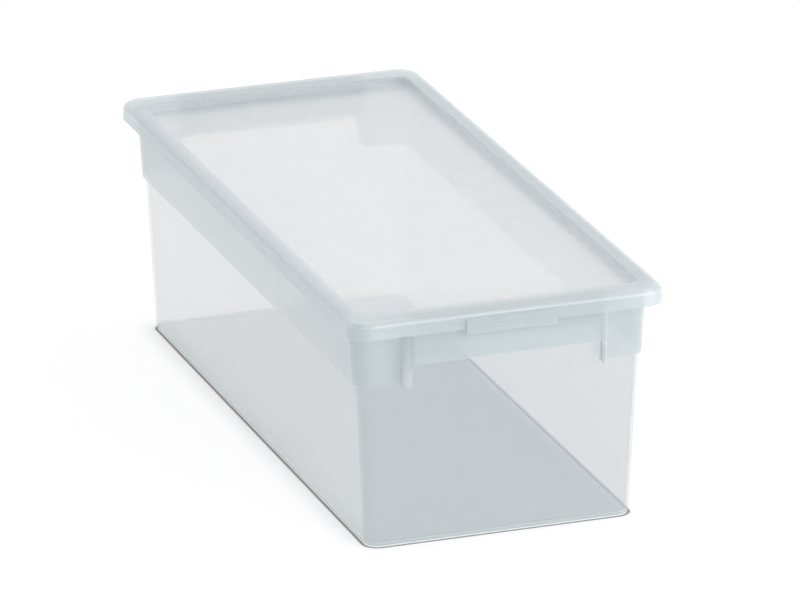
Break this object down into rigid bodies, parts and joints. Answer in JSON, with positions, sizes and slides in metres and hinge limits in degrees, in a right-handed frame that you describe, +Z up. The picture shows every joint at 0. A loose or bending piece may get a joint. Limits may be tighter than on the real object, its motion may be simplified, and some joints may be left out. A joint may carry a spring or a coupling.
{
  "type": "shoe box",
  "caption": "Translucent lidded storage box for shoes: open tub with a wide band and grab-lip handles at its ends, and a lift-off lid with a recessed top.",
  "frame": {"origin": "middle of the tub's underside, on the surface it stands on", "axes": "+Z up, +Y along the length towards one of the two like ends, +X across the width"},
  "size_m": [0.175, 0.4054, 0.1298],
  "materials": {
    "tub": "clear polypropylene, frosted on the band and the handles",
    "lid": "frosted polypropylene brim and ring, clear recessed panel"
  },
  "bodies": {
    "tub": {"tub": "tub"},
    "lid": {"lid": "lid"}
  },
  "joints": [
    {"name": "lid_lift", "type": "slide", "parent": "tub", "child": "lid", "axis": [0, 0, 1], "range_m": [0, 0.16]}
  ]
}
